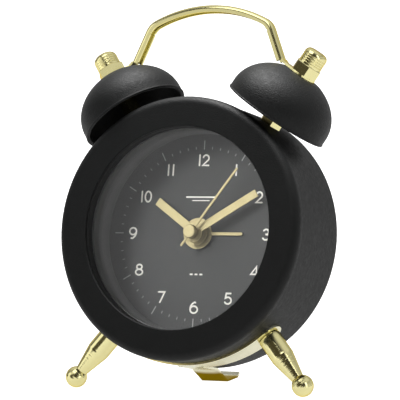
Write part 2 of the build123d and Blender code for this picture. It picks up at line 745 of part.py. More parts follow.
def train_bridge():
    """The thin plate between the two halves of the wheel train."""
    low_w, high_w = BRIDGE_W
    with BuildPart() as piece:
        with BuildSketch(FACE.offset(low_w)):
            with Locations(BRIDGE_AT):
                Rectangle(*BRIDGE_SIZE)
        extrude(amount=high_w - low_w)
        rod(CENTRE, SECOND_ARBOR_R + RUNNING, low_w, high_w, Mode.SUBTRACT)
        rod(THIRD_AT, ARBOR_R + RUNNING, low_w, high_w, Mode.SUBTRACT)
        for at in (STEP_AT, ROTOR_AT):
            rod(at, PIVOT_R + RUNNING, low_w, low_w + 0.45, Mode.SUBTRACT)
        for at in (TIME_STEM, ALARM_STEM):
            rod(at, STEM_R + RUNNING, low_w, high_w, Mode.SUBTRACT)
    return piece


def wheel_on_arbor(at, gears, arbor_r, pivot_r, pivots):
    """One turning piece: toothed discs on an arbor with a thinner pivot at each end."""
    with BuildPart() as piece:
        for teeth, module, phase, layer in gears:
            gear(at, teeth, module, phase, *layer)
        rod(at, pivot_r, *pivots)
        if arbor_r:
            rod(at, arbor_r, min(g[3][0] for g in gears) - 0.1, max(g[3][1] for g in gears) + 0.1)
    return piece


def minute_wheel(phase, pinion_phase):
    """The motion work's wheel and pinion, which turn on a post of the chassis."""
    with BuildPart() as piece:
        gear(MINUTE_AT, MINUTE_WHEEL_TEETH, BIG_MODULE, phase, *MINUTE_LAYER)
        top_w = HOUR_LAYER[1] + 0.1
        gear(MINUTE_AT, MINUTE_PINION_TEETH, HOUR_MODULE, pinion_phase, MINUTE_LAYER[1], top_w)
        rod(MINUTE_AT, MINUTE_POST_R + RUNNING, MINUTE_LAYER[0], top_w, Mode.SUBTRACT)
    return piece


def tube_wheel(teeth, module, phase, layer, tube, top_w, extra=None):
    """A toothed disc on a tube that runs forward through the dial, with a second gear if given."""
    bore, outer = tube
    with BuildPart() as piece:
        gear(CENTRE, teeth, module, phase, *layer)
        if extra:
            gear(CENTRE, *extra)
        rod(CENTRE, outer, layer[0], top_w)
        rod(CENTRE, bore, layer[0] - 1, top_w + 1, Mode.SUBTRACT)
    return piece


def second_wheel():
    """The seconds wheel and pinion on the long centre arbor that carries the second hand."""
    with BuildPart() as piece:
        gear(CENTRE, SECOND_TEETH, BIG_MODULE, 0, *SECOND_LAYER)
        gear(CENTRE, SECOND_PINION_TEETH, MODULE, 0, SECOND_LAYER[1], THIRD_LAYER[1] + 0.1)
        rod(CENTRE, SECOND_ARBOR_R, SECOND_LAYER[0] - 0.2, SECOND_HAND_W + HAND_THICK)
        rod(CENTRE, PIVOT_R, COVER_INNER_W - 0.6, SECOND_LAYER[0])
    return piece


def stator():
    """The laminated magnetic circuit: a pole around the rotor and the bar through the coil."""
    low_w, high_w = STATOR_LAYER
    with BuildPart() as piece:
        with BuildSketch(FACE.offset(low_w)):
            for centre, size in STATOR_BARS:
                with Locations(centre):
                    Rectangle(*size)
            with Locations(ROTOR_AT):
                Circle(1.6, mode=Mode.SUBTRACT)
            with Locations(TIME_STEM):
                Circle(STEM_R + 0.6, mode=Mode.SUBTRACT)
        extrude(amount=high_w - low_w)
    return piece


def knob(at, gear_teeth, phase, layer):
    """A ribbed setting knob on a stem whose inner end carries a pinion."""
    with BuildPart() as piece:
        gear(at, gear_teeth, BIG_MODULE, phase, *layer)
        rod(at, STEM_R, KNOB_W[1] - 0.5, layer[1] + 0.7)
        with BuildSketch(FACE.offset(KNOB_W[0])):
            with Locations(at):
                Circle(KNOB_R)
                with PolarLocations(KNOB_R + 0.08, 24):
                    Circle(0.3, mode=Mode.SUBTRACT)
        extrude(amount=KNOB_W[1] - KNOB_W[0])
        with BuildSketch(FACE.offset(KNOB_W[0])):
            with Locations(at):
                Circle(KNOB_R - 1.2)
        extrude(amount=0.4, mode=Mode.SUBTRACT)
    return piece


def alarm_switch():
    """The sliding alarm switch: a ridged button outside the cover and a plate behind it."""
    start_u = SWITCH_AT[0] - SWITCH_TRAVEL / 2
    middle = (start_u, SWITCH_AT[1])
    plate_w = CASE_REAR_W + CASE_SHEET + COVER_PLATE + 0.1
    button_w = CASE_REAR_W - 1.5
    button_thick = 1.4
    with BuildPart() as piece:
        with BuildSketch(FACE.offset(plate_w)):
            with Locations(middle):
                Rectangle(4.4, 4.4)
        extrude(amount=0.8)
        with BuildSketch(FACE.offset(button_w + button_thick - 0.2)):
            with Locations(middle):
                Rectangle(SWITCH_NECK, SWITCH_SLOT - 0.3)
        extrude(amount=plate_w - button_w - button_thick + 0.4)
        with BuildSketch(FACE.offset(button_w)):
            with Locations(middle):
                RectangleRounded(4.0, 3.2, 0.5)
        extrude(amount=button_thick)
        with BuildSketch(FACE.offset(button_w - 0.1)):
            with Locations(*[(start_u + step, SWITCH_AT[1]) for step in (-1.0, 0.0, 1.0)]):
                Rectangle(0.35, 2.6)
        extrude(amount=0.45, mode=Mode.SUBTRACT)
    return piece


def battery_door():
    """The flush door over the battery bay, with its thumb ridges and its two inside ribs."""
    with BuildPart() as piece:
        with BuildSketch(FACE.offset(CASE_REAR_W + 0.15)):
            with Locations((0, BAY_V)):
                RectangleRounded(DOOR_WIDE - 0.3, DOOR_HIGH - 0.3, 0.6)
        extrude(amount=DOOR_THICK)
        with BuildSketch(FACE.offset(CASE_REAR_W - 0.15)):
            with Locations(*[(18.5 + step, BAY_V) for step in (-1.6, -0.8, 0.0, 0.8, 1.6)]):
                Rectangle(0.4, 6.0)
        extrude(amount=0.35)
    return piece


def battery():
    """A small cylindrical cell lying across the case."""
    start = Plane(
        origin=DIAL_CENTRE + DIRECTION_V * BAY_V + DIRECTION_W * BATTERY_W - DIRECTION_U * BATTERY_LONG / 2,
        x_dir=DIRECTION_W,
        z_dir=DIRECTION_U,
    )
    with BuildPart() as piece:
        with BuildSketch(start):
            Circle(BATTERY_R)
        extrude(amount=BATTERY_LONG)
        fillet(piece.edges().filter_by(GeomType.CIRCLE), 0.5)
        with BuildSketch(start.offset(BATTERY_LONG)):
            Circle(1.9)
        extrude(amount=0.8)
    return piece


def battery_contact(side):
    """A bent spring strip at one end of the battery bay."""
    gap = 0.2
    thick = 0.3
    inner = side * (BAY_WIDE / 2 - gap - thick)
    with BuildPart() as piece:
        with BuildSketch(FACE.offset(BATTERY_W - 3.5)):
            with Locations((inner + side * thick / 2, BAY_V)):
                Rectangle(thick, 7.0)
        extrude(amount=7.0)
        start = Plane(
            origin=DIAL_CENTRE + DIRECTION_V * BAY_V + DIRECTION_W * BATTERY_W + DIRECTION_U * inner,
            x_dir=DIRECTION_W,
            z_dir=DIRECTION_U * -side,
        )
        with BuildSketch(start):
            Circle(1.6)
        extrude(amount=0.35)
    return piece


def screws():
    """Three pan-head screws that hold the cover to the chassis pillars, as separate solids."""
    head_w = CASE_REAR_W + 0.05
    with BuildPart() as piece:
        for at in PILLARS:
            rod(at, SCREW_R - 0.03, head_w, head_w + 6.0)
            rod(at, 1.9, head_w - 0.9, head_w)
            with BuildSketch(FACE.offset(head_w - 1.0)):
                with Locations(at):
                    Rectangle(2.2, 0.45)
                    Rectangle(0.45, 2.2)
            extrude(amount=0.5, mode=Mode.SUBTRACT)
    return piece


def plain_block(centre, size, layer):
    """A rectangular slab lying along the dial."""
    with BuildPart() as piece:
        with BuildSketch(FACE.offset(layer[0])):
            with Locations(centre):
                Rectangle(*size)
        extrude(amount=layer[1] - layer[0])
    return piece


def level_plane(u, v, w):
    """A plane square to the dial's upward direction, through a point given in the dial's directions."""
    origin = DIAL_CENTRE + DIRECTION_U * u + DIRECTION_V * v + DIRECTION_W * w
    return Plane(origin=origin, x_dir=DIRECTION_U, z_dir=DIRECTION_V)


def quartz_crystal():
    """The small metal can of the quartz crystal, standing beside the circuit board."""
    with BuildPart() as piece:
        with BuildSketch(level_plane(15.6, -5.5, BOARD_LAYER[0] - 1.05)):
            Circle(1.0)
        extrude(amount=6.0)
    return piece


def coil():
    """The copper winding on its flanged bobbin around the magnetic circuit's bar."""
    low_w, high_w = STATOR_LAYER
    middle_w = (low_w + high_w) / 2
    low_v, high_v = COIL_SPAN
    winding_r, flange_r = 1.6, 1.85
    flange_thick = 0.5
    lengths = (
        (winding_r, low_v, high_v),
        (flange_r, low_v, low_v + flange_thick),
        (flange_r, high_v - flange_thick, high_v),
    )
    with BuildPart() as piece:
        for radius, start_v, end_v in lengths:
            with BuildSketch(level_plane(COIL_U, start_v, middle_w)):
                Circle(radius)
            extrude(amount=end_v - start_v)
        with BuildSketch(level_plane(COIL_U, low_v - 1, middle_w)):
            Rectangle(COIL_BAR + 2 * THREAD_GAP, high_w - low_w + 2 * THREAD_GAP)
        extrude(amount=high_v - low_v + 2, mode=Mode.SUBTRACT)
    return piece


def buzzer():
    """The round sounder behind its grille of holes, with a hole in its face."""
    low_w = CASE_REAR_W + CASE_SHEET + COVER_PLATE + RUNNING
    with BuildPart() as piece:
        rod(BUZZER_AT, BUZZER_R, low_w, low_w + BUZZER_HIGH)
        rod(BUZZER_AT, BUZZER_PORT_R, low_w, low_w + BUZZER_HIGH / 3, Mode.SUBTRACT)
    return piece


def ring_at(at, inner, outer, layer):
    """A plain ring about one of the train's arbors."""
    with BuildPart() as piece:
        rod(at, outer, *layer)
        rod(at, inner, *layer, Mode.SUBTRACT)
    return piece


def second_hand():
    """The thin second hand with its short tail and the round cap that covers the hub."""
    with BuildPart() as piece:
        with BuildSketch(spoke(SECOND_ANGLE, SECOND_HAND_W)):
            with Locations((0, (SECOND_LONG - SECOND_TAIL) / 2)):
                Rectangle(0.55, SECOND_LONG + SECOND_TAIL)
            Circle(SECOND_HUB_R)
            Circle(SECOND_ARBOR_R, mode=Mode.SUBTRACT)
        extrude(amount=HAND_THICK)
        rod(CENTRE, SECOND_HUB_R, SECOND_HAND_W + HAND_THICK, SECOND_CAP_W)
        top = piece.edges().filter_by(GeomType.CIRCLE).group_by(Axis(DIAL_CENTRE, DIRECTION_W))[-1]
        fillet(top, 0.4)
    return piece


# ---- build every sub-part and write it ----
os.makedirs("parts", exist_ok=True)

write(case_drum(), "case_drum")
write(bezel(), "bezel")
write(ring(0, LENS_R, LENS_FRONT_W - LENS_THICK, LENS_FRONT_W), "lens")
write(lens_collar(), "lens_seal")
write(ring(BEZEL_LIP_R, LENS_R, 0.05, LENS_FRONT_W - LENS_THICK - 0.05), "dial_ring")
write(ring(ALARM_TUBE[1] + RUNNING + 1.0, DIAL_R, -DIAL_THICK, 0), "dial")
write(back_cover(), "back_cover")
write(battery_door(), "battery_door")
write(alarm_switch(), "alarm_switch")
write(screws(), "back_screws")

for side, sign in (("left", -1), ("right", 1)):
    bell_angle = sign * BELL_ANGLE
    foot_angle = 180 - sign * FOOT_ANGLE
    write(bell(bell_angle), f"bell_{side}")
    write(bell_post(bell_angle), f"bell_post_{side}")
    write(bell_spacer(bell_angle), f"bell_spacer_{side}")
    write(nut(bell_angle, COLLAR_AT, COLLAR_HIGH), f"collar_nut_{side}")
    write(cap_nut(bell_angle), f"cap_nut_{side}")
    write(nut(bell_angle, INNER_NUT_AT, INNER_NUT_HIGH), f"bell_lock_nut_{side}")
    write(foot(foot_angle), f"foot_{side}")
    write(nut(foot_angle, INNER_NUT_AT, INNER_NUT_HIGH), f"foot_lock_nut_{side}")
write(handle(), "handle")
write(stand_strap(), "stand_strap")

write(movement_base(), "movement_base")
write(movement_cover(), "movement_cover")
write(train_bridge(), "train_bridge")
write(stator(), "stator")
write(coil(), "coil")
write(plain_block((17.6, 2.1), (10.2, 17.0), BOARD_LAYER), "circuit_board")
write(quartz_crystal(), "quartz_crystal")
write(plain_block((-8.3, 1.0), (5.4, 1.2), (-2.35, -2.15)), "alarm_contact")
write(buzzer(), "buzzer")
write(battery(), "battery")
write(battery_contact(1), "contact_positive")
write(battery_contact(-1), "contact_negative")

third_phase = meshing(THIRD_WAY, 0, SECOND_PINION_TEETH, THIRD_TEETH)
minute_phase = meshing(MINUTE_WAY, 0, CANNON_TEETH, MINUTE_WHEEL_TEETH)
step_phase = meshing(STEP_WAY, 0, SECOND_TEETH, STEP_PINION_TEETH)
rotor_phase = meshing(ROTOR_WAY, 0, STEP_TEETH, ROTOR_TEETH)
third_pinion_phase = meshing(THIRD_WAY, 0, CENTRE_TEETH, THIRD_PINION_TEETH)
minute_pinion_phase = meshing(MINUTE_WAY, 0, HOUR_TEETH, MINUTE_PINION_TEETH)
time_phase = meshing(TIME_WAY, minute_phase, MINUTE_WHEEL_TEETH, CANNON_TEETH)
alarm_phase = meshing(ALARM_WAY, 0, ALARM_TEETH, ALARM_PINION_TEETH)

write(second_wheel(), "second_wheel")
write(
    wheel_on_arbor(
        THIRD_AT,
        (
            (THIRD_TEETH, MODULE, third_phase, THIRD_LAYER),
            (THIRD_PINION_TEETH, CENTRE_MODULE, third_pinion_phase, THIRD_PINION_LAYER),
        ),
        ARBOR_R,
        PIVOT_R,
        (COVER_INNER_W - 0.6, CHASSIS_REAR_W + 0.7),
    ),
    "third_wheel",
)
write(
    tube_wheel(
        CENTRE_TEETH, CENTRE_MODULE, 0, CENTRE_LAYER, MINUTE_TUBE, MINUTE_HAND_W,
        (CANNON_TEETH, BIG_MODULE, 0, *CANNON_LAYER),
    ),
    "centre_wheel",
)
write(minute_wheel(minute_phase, minute_pinion_phase), "minute_wheel")
write(tube_wheel(HOUR_TEETH, HOUR_MODULE, 0, HOUR_LAYER, HOUR_TUBE, HOUR_HAND_W), "hour_wheel")
write(tube_wheel(ALARM_TEETH, BIG_MODULE, 0, ALARM_LAYER, ALARM_TUBE, ALARM_HAND_W), "alarm_wheel")
write(
    wheel_on_arbor(
        STEP_AT,
        (
            (STEP_TEETH, SMALL_MODULE, 0, STEP_LAYER),
            (STEP_PINION_TEETH, BIG_MODULE, step_phase, (STEP_LAYER[1], SECOND_LAYER[1] + 0.1)),
        ),
        ARBOR_R,
        PIVOT_R,
        (COVER_INNER_W - 0.6, BRIDGE_W[0] + 0.4),
    ),
    "step_wheel",
)
write(
    wheel_on_arbor(
        ROTOR_AT,
        ((ROTOR_TEETH, SMALL_MODULE, rotor_phase, (STEP_LAYER[0] - 0.1, STEP_LAYER[1] + 0.1)),),
        0,
        ROTOR_PIVOT_R,
        (COVER_INNER_W - 0.6, BRIDGE_W[0] + 0.4),
    ),
    "rotor_pinion",
)
write(ring_at(ROTOR_AT, ROTOR_PIVOT_R, ROTOR_R, ROTOR_LAYER), "rotor_magnet")
write(knob(TIME_STEM, CANNON_TEETH, time_phase, MINUTE_LAYER), "time_knob")
write(knob(ALARM_STEM, ALARM_PINION_TEETH, alarm_phase, ALARM_LAYER), "alarm_knob")

for name, angle, hub_r, arbor_r, length, half_width, tip_r, w_low in (
    ("alarm_hand", ALARM_ANGLE, 4.05, HOUR_TUBE[1], 12.8, 0.4, 0.35, ALARM_HAND_W),
    ("hour_hand", HOUR_ANGLE, 3.25, MINUTE_TUBE[1], 14.4, 1.1, 0.15, HOUR_HAND_W),
    ("minute_hand", MINUTE_ANGLE, 2.65, SECOND_ARBOR_R, 20.2, 1.0, 0.15, MINUTE_HAND_W),
):
    write(hand(angle, hub_r, arbor_r + RUNNING, length, half_width, tip_r, w_low), name)
write(second_hand(), "second_hand")
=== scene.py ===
"""The looks of a small twin-bell alarm clock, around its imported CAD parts.

Row frame in metres: +X to the right, -Y to the front, +Z up. Most pieces are placed by the dial's own
directions: u to the right, v up the dial and w out of it, with the dial's middle at u = v = w = 0.
"""

import json
from math import atan2, cos, pi, radians, sin

import bmesh
import bpy
from mathutils import Euler, Matrix, Vector


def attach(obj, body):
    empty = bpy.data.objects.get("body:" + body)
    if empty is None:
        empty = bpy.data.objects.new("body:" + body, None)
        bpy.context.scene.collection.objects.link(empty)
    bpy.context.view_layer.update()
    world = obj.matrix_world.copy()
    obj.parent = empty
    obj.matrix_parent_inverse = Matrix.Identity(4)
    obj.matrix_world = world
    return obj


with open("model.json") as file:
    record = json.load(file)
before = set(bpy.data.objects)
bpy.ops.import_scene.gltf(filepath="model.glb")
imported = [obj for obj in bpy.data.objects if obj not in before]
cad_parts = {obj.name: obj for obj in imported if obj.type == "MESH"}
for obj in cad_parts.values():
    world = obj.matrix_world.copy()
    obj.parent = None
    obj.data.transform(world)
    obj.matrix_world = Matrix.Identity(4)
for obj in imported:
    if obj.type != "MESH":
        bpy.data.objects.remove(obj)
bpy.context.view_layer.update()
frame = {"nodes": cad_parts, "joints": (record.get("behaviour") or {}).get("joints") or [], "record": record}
NODES = frame["nodes"]

MM = 0.001

# ---- the dial's frame, from the joints that turn about it ----
JOINT = {joint["name"]: joint for joint in frame["joints"]}
CENTRE = Vector(JOINT["second_turn"]["pos_m"])
DIAL_W = -Vector(JOINT["second_turn"]["axis"]).normalized()
DIAL_U = Vector((1, 0, 0))
DIAL_V = DIAL_W.cross(DIAL_U)

# ---- sizes of the CAD parts that the looks follow, in millimetres and degrees ----
SPOKE_W = 1.5  # the plane of the bell posts and the feet
BELL_ANGLE = 33.6
BELL_RIM_R = 14.0
BELL_RIM_AT = 37.0  # from the dial's middle along the bell post
DOME_FROM, DOME_FULL = 52.9, 53.3  # along the post, where a cap nut's hexagon ends and its dome starts
FOOT_ANGLE = 40.4
TAPER_FROM, TAPER_FULL = 40.8, 41.6  # along the foot, where its barrel ends and its taper starts
TONGUE_FROM, TONGUE_FULL = 35.0, 35.6  # out from the dial's middle, where the strap becomes the tongue
STRAP_FRONT_W = 5.95  # just behind the strap's front edge
RING_LOW_W, RING_HIGH_W = 1.0, 8.5  # the dial ring's wall
TUBE_FRONT_W = 0.05  # in front of it, the wheels' tubes stand out of the dial
REAR_W = -13.5  # the back cover's outer face
CELL_BAND_U, CELL_STEEL_U = 11.0, 20.4  # where the cell's second band starts, and where its sleeve ends

# ---- sizes that only the looks have, in millimetres ----
PAINT_EDGE = 0.3
HAND_EDGE = 0.15
BEAD_R = 0.30
BEAD_STEPS, BEAD_SIDES = 120, 12
TRACK_PITCH, PAD_PITCH = 1.27, 2.54
WIRE_PITCH = 0.12

# ---- the camera: where it is from the dial's middle, how it is turned, and its lens ----
CAMERA_AZIMUTH = 26.848
CAMERA_ELEVATION = 6.861
CAMERA_DISTANCE = 703.4
CAMERA_YAW = 26.806
CAMERA_PITCH = -6.142
CAMERA_ROLL = -2.712
CAMERA_LENS = 243.8
CAMERA_REACH = 50.0  # metres


def at(u, v, w):
    """A point in the row frame from the dial's directions, all in millimetres."""
    return CENTRE + (DIAL_U * u + DIAL_V * v + DIAL_W * w) * MM


# ================================ materials ================================
NOISE_SPAN = (0.3, 0.7)  # most of what a noise node gives


class Shader:
    """A node material: its Principled shader and short calls that add what feeds it."""

    def __init__(self, name, color, roughness, metallic=0.0, **values):
        self.material = bpy.data.materials.new(name)
        self.material.use_nodes = True
        self.tree = self.material.node_tree
        self.tree.nodes.clear()
        self.out = self.tree.nodes.new("ShaderNodeOutputMaterial")
        self.main = self.tree.nodes.new("ShaderNodeBsdfPrincipled")
        self.tree.links.new(self.main.outputs[0], self.out.inputs[0])
        self.main.inputs["Base Color"].default_value = (*color, 1)
        self.main.inputs["Roughness"].default_value = roughness
        self.main.inputs["Metallic"].default_value = metallic
        for socket, value in values.items():
            self.main.inputs[socket.replace("_", " ")].default_value = value
        self.place = self.node("TexCoord").outputs["Object"]

    def node(self, kind, **settings):
        """A new shader node of a kind, with its settings."""
        made = self.tree.nodes.new("ShaderNode" + kind)
        for key, value in settings.items():
            setattr(made, key, value)
        return made

    def join(self, source, target):
        """Link an output to a socket, or set the socket to a plain value."""
        if isinstance(source, (int, float)):
            target.default_value = source
        elif isinstance(source, (tuple, Vector)):
            target.default_value = tuple(source)
        else:
            self.tree.links.new(source, target)

    def math(self, operation, *values):
        """The result of a math node on one or two values."""
        made = self.node("Math", operation=operation)
        for socket, value in zip(made.inputs, values):
            self.join(value, socket)
        return made.outputs[0]

    def along(self, direction):
        """How far the shaded point lies along a direction from the dial's middle, in millimetres."""
        made = self.node("VectorMath", operation="SUBTRACT")
        self.join(self.place, made.inputs[0])
        made.inputs[1].default_value = CENTRE
        dot = self.node("VectorMath", operation="DOT_PRODUCT")
        self.join(made.outputs[0], dot.inputs[0])
        dot.inputs[1].default_value = direction
        return self.math("MULTIPLY", dot.outputs["Value"], 1 / MM)

    def vector(self, *parts):
        """A vector from three values."""
        made = self.node("CombineXYZ")
        for socket, value in zip(made.inputs, parts):
            self.join(value, socket)
        return made.outputs[0]

    def noise(self, size, detail=2.0, rough=0.5, place=None, unit=MM):
        """Noise whose features are about size units across."""
        made = self.node("TexNoise")
        self.join(place or self.place, made.inputs["Vector"])
        made.inputs["Scale"].default_value = 1 / (size * unit)
        made.inputs["Detail"].default_value = detail
        made.inputs["Roughness"].default_value = rough
        return made.outputs["Fac"]

    def cells(self, size):
        """Rounded cells about size millimetres across."""
        made = self.node("TexVoronoi")
        self.join(self.place, made.inputs["Vector"])
        made.inputs["Scale"].default_value = 1 / (size * MM)
        return made.outputs["Distance"]

    def map(self, value, low, high, to_low, to_high):
        """A value stretched from one range to another and held at its ends."""
        made = self.node("MapRange")
        for socket, amount in zip(made.inputs, (value, low, high, to_low, to_high)):
            self.join(amount, socket)
        return made.outputs[0]

    def drift(self, low, high, size, detail=4.0, rough=0.5):
        """A value that drifts between low and high over patches about size millimetres across."""
        return self.map(self.noise(size, detail, rough), *NOISE_SPAN, low, high)

    def blend(self, share, first, second):
        """A colour between two colours."""
        made = self.node("Mix", data_type="RGBA")
        self.join(share, made.inputs[0])
        for socket, value in ((made.inputs[6], first), (made.inputs[7], second)):
            self.join((*value, 1) if isinstance(value, tuple) else value, socket)
        return made.outputs[2]

    def bump(self, height, depth, after=None):
        """A bump of about depth millimetres, on top of another surface direction if one is given."""
        made = self.node("Bump")
        made.inputs["Strength"].default_value = 1.0
        made.inputs["Distance"].default_value = depth * MM
        self.join(height, made.inputs["Height"])
        if after:
            self.join(after, made.inputs["Normal"])
        return made.outputs[0]

    def worn_edge(self, radius):
        """The surface direction with its edges softened by a radius in millimetres."""
        made = self.node("Bevel", samples=6)
        made.inputs["Radius"].default_value = radius * MM
        return made.outputs[0]

    def feed(self, socket, source):
        """Link an output to a socket of the Principled shader."""
        self.join(source, self.main.inputs[socket])


def black_paint():
    """Matte black powder coat with a fine orange-peel grain."""
    paint = Shader("black_powder_coat", (0.005, 0.005, 0.005), 0.55, Specular_IOR_Level=0.22)
    clouds = paint.noise(6.0, 3.0)
    paint.feed("Base Color", paint.blend(clouds, (0.0042, 0.0045, 0.0044), (0.0056, 0.0060, 0.0059)))
    paint.feed("Roughness", paint.drift(0.50, 0.60, 1.2))
    fine = paint.bump(paint.noise(0.34, 2.0), 0.09, after=paint.worn_edge(PAINT_EDGE))
    paint.feed("Normal", paint.bump(paint.cells(0.6), 0.01, after=fine))
    return paint.material


GOLDEN_SHEEN = (0.80, 0.66, 0.32)
# A silvery tint for the strap round the drum, a painted reflection of the pale floor.
PAINTED_SILVER_REFLECTION = (0.95, 0.93, 0.84)
# A dark brown for the strap's tongue, a painted shade.
TONGUE_PAINTED_SHADE = (0.21, 0.15, 0.035)
# A brighter gold for the strap's front edge, a painted highlight.
STRAP_EDGE_PAINTED_HIGHLIGHT = (0.86, 0.75, 0.36)
RINGS_ON_DOME, RINGS_ON_TAPER, RINGS_ELSEWHERE = 0.55, 1.0, 0.06


def brass(name, tone, lines, roughness, tongue=False):
    """Polished pale brass with fine lines. On a strap, a silvery tint round the drum is a painted reflection
    of the pale floor, its tongue is coloured dark brown as painted shade, and its front edge is coloured
    brighter gold as a painted highlight.
    """
    metal = Shader(name, tone, roughness, 1.0, Specular_Tint=(*GOLDEN_SHEEN, 1))
    tarnish = metal.noise(3.5, 4.0, 0.6)
    color = metal.blend(tarnish, tuple(c * 0.95 - 0.02 for c in tone), tuple(c * 1.05 for c in tone))
    if tongue:
        across, up = (metal.math("POWER", metal.along(way), 2.0) for way in (DIAL_U, DIAL_V))
        reach = metal.math("ADD", across, up)
        beyond = metal.map(reach, TONGUE_FROM ** 2, TONGUE_FULL ** 2, 0.0, 1.0)
        # Painted reflection: a silvery tint round the drum, plain gold on the tongue.
        metal.feed("Specular Tint", metal.blend(beyond, PAINTED_SILVER_REFLECTION, GOLDEN_SHEEN))
        # Painted shade: the tongue is coloured dark brown. Painted highlight: the front edge is coloured a
        # brighter gold.
        painted_highlight_edge = metal.math("GREATER_THAN", metal.along(DIAL_W), STRAP_FRONT_W)
        color = metal.blend(painted_highlight_edge, metal.blend(beyond, color, TONGUE_PAINTED_SHADE), STRAP_EDGE_PAINTED_HIGHLIGHT)
    metal.feed("Base Color", color)
    metal.feed("Roughness", metal.drift(roughness - 0.04, roughness + 0.07, 1.1, 5.0, 0.65))
    metal.feed("Normal", lines(metal))
    return metal.material


def along_spoke(metal, sideways, upwards):
    """How far the shaded point lies along the post or foot of its own side of the clock."""
    side = metal.math("MULTIPLY", metal.math("ABSOLUTE", metal.along(DIAL_U)), sideways)
    return metal.math("ADD", side, metal.math("MULTIPLY", metal.along(DIAL_V), upwards))


def turned_lines(metal):
    """Lathe rings square to the posts and feet: clear on domes and tapers, faint on all the rest."""
    bell, foot = radians(BELL_ANGLE), radians(FOOT_ANGLE)
    up = along_spoke(metal, sin(bell), cos(bell))
    down = along_spoke(metal, sin(foot), -cos(foot))
    reach = metal.math("MAXIMUM", up, down)
    rings = metal.noise(0.55, 3.0, place=metal.vector(reach, 0.0, 0.0), unit=1.0)
    on_dome = metal.map(up, DOME_FROM, DOME_FULL, RINGS_ELSEWHERE, RINGS_ON_DOME)
    on_taper = metal.map(down, TAPER_FROM, TAPER_FULL, RINGS_ELSEWHERE, RINGS_ON_TAPER)
    depth = metal.math("MAXIMUM", on_dome, on_taper)
    return metal.bump(metal.math("MULTIPLY", rings, depth), 0.16)


def rolled_lines(metal):
    """Faint lengthwise rolling lines across the depth of a strip."""
    depth = metal.along(DIAL_W)
    side = metal.math("MULTIPLY", metal.along(DIAL_U), 0.02)
    grain = metal.noise(0.12, 3.0, place=metal.vector(side, depth, 0.0), unit=1.0)
    return metal.bump(grain, 0.001)


def steel():
    """Zinc-plated steel with a fine cloudy passivation."""
    metal = Shader("zinc_plated_steel", (0.60, 0.60, 0.61), 0.32, 1.0)
    metal.feed("Base Color", metal.blend(metal.noise(1.5, 4.0), (0.52, 0.53, 0.55), (0.68, 0.67, 0.64)))
    metal.feed("Roughness", metal.drift(0.24, 0.42, 0.6))
    metal.feed("Normal", metal.bump(metal.noise(0.1, 3.0), 0.003))
    return metal.material


def plastic(name, color, roughness, grain=0.2, depth=0.01):
    """A moulded plastic with a spark-eroded texture."""
    resin = Shader(name, color, roughness)
    light = tuple(min(1.0, c * 1.18 + 0.002) for c in color)
    dark = tuple(c * 0.86 for c in color)
    resin.feed("Base Color", resin.blend(resin.noise(4.0, 3.0), dark, light))
    resin.feed("Roughness", resin.drift(roughness - 0.05, roughness + 0.06, 1.0))
    resin.feed("Normal", resin.bump(resin.noise(grain, 3.0), depth))
    return resin.material


def lens_glass():
    """Clear glass that lets lamps through, with a trace of dust in its gloss."""
    glass = Shader("lens_glass", (1.0, 1.0, 1.0), 0.0, Transmission_Weight=1.0, IOR=1.5)
    glass.feed("Roughness", glass.map(glass.noise(5.0, 4.0), 0.35, 0.75, 0.0, 0.02))
    clear = glass.node("BsdfTransparent")
    path = glass.node("LightPath")
    choice = glass.node("MixShader")
    glass.join(path.outputs["Is Shadow Ray"], choice.inputs[0])
    glass.join(glass.main.outputs[0], choice.inputs[1])
    glass.join(clear.outputs[0], choice.inputs[2])
    glass.join(choice.outputs[0], glass.out.inputs[0])
    return glass.material


def dial_face():
    """Matte charcoal dial enamel with a very fine tooth."""
    enamel = Shader("dial_charcoal", (0.085, 0.085, 0.085), 0.6, Specular_IOR_Level=0.1)
    clouds = enamel.noise(5.0, 3.0)
    enamel.feed("Base Color", enamel.blend(clouds, (0.079, 0.081, 0.080), (0.090, 0.092, 0.091)))
    enamel.feed("Roughness", enamel.drift(0.55, 0.68, 0.8, 3.0))
    enamel.feed("Normal", enamel.bump(enamel.noise(0.4, 2.0), 0.001))
    return enamel.material


def ring_wall():
    """The charcoal wall between the lens and the dial, darker towards the dial and paler towards the lens: a
    painted shade deep in the recess.
    """
    wall = Shader("charcoal_ring", (0.22, 0.22, 0.22), 0.6)
    height = wall.map(wall.along(DIAL_W), RING_LOW_W, RING_HIGH_W, 0.0, 1.0)
    # Painted shade: the wall's colour darkens towards the dial.
    wall.feed("Base Color", wall.blend(height, (0.145, 0.147, 0.146), (0.27, 0.272, 0.271)))
    wall.feed("Roughness", wall.drift(0.55, 0.66, 1.0, 3.0))
    wall.feed("Normal", wall.bump(wall.noise(0.3, 2.0), 0.003))
    return wall.material


def print_ink(name, color, painted_glow=0.0):
    """Screen-printed ink, slightly uneven. An ink may be given a faint painted glow, light that it sends out
    though it is no lamp.
    """
    ink = Shader(name, color, 0.6, Emission_Color=(*color, 1), Emission_Strength=painted_glow)
    ink.feed("Base Color", ink.blend(ink.noise(0.5, 3.0), tuple(c * 0.88 for c in color), color))
    ink.feed("Normal", ink.bump(ink.noise(0.12, 2.0), 0.004))
    return ink.material


def hand_gold():
    """Pale satin gold lacquer with a fine lengthwise brushing."""
    gold = Shader("hand_gold", (0.52, 0.455, 0.25), 0.6, 0.9)
    gold.feed("Base Color", gold.blend(gold.noise(2.0, 3.0), (0.50, 0.435, 0.235), (0.54, 0.475, 0.27)))
    gold.feed("Roughness", gold.drift(0.55, 0.66, 0.5, 3.0))
    gold.feed("Normal", gold.bump(gold.noise(0.12, 2.0), 0.003, after=gold.worn_edge(HAND_EDGE)))
    return gold.material


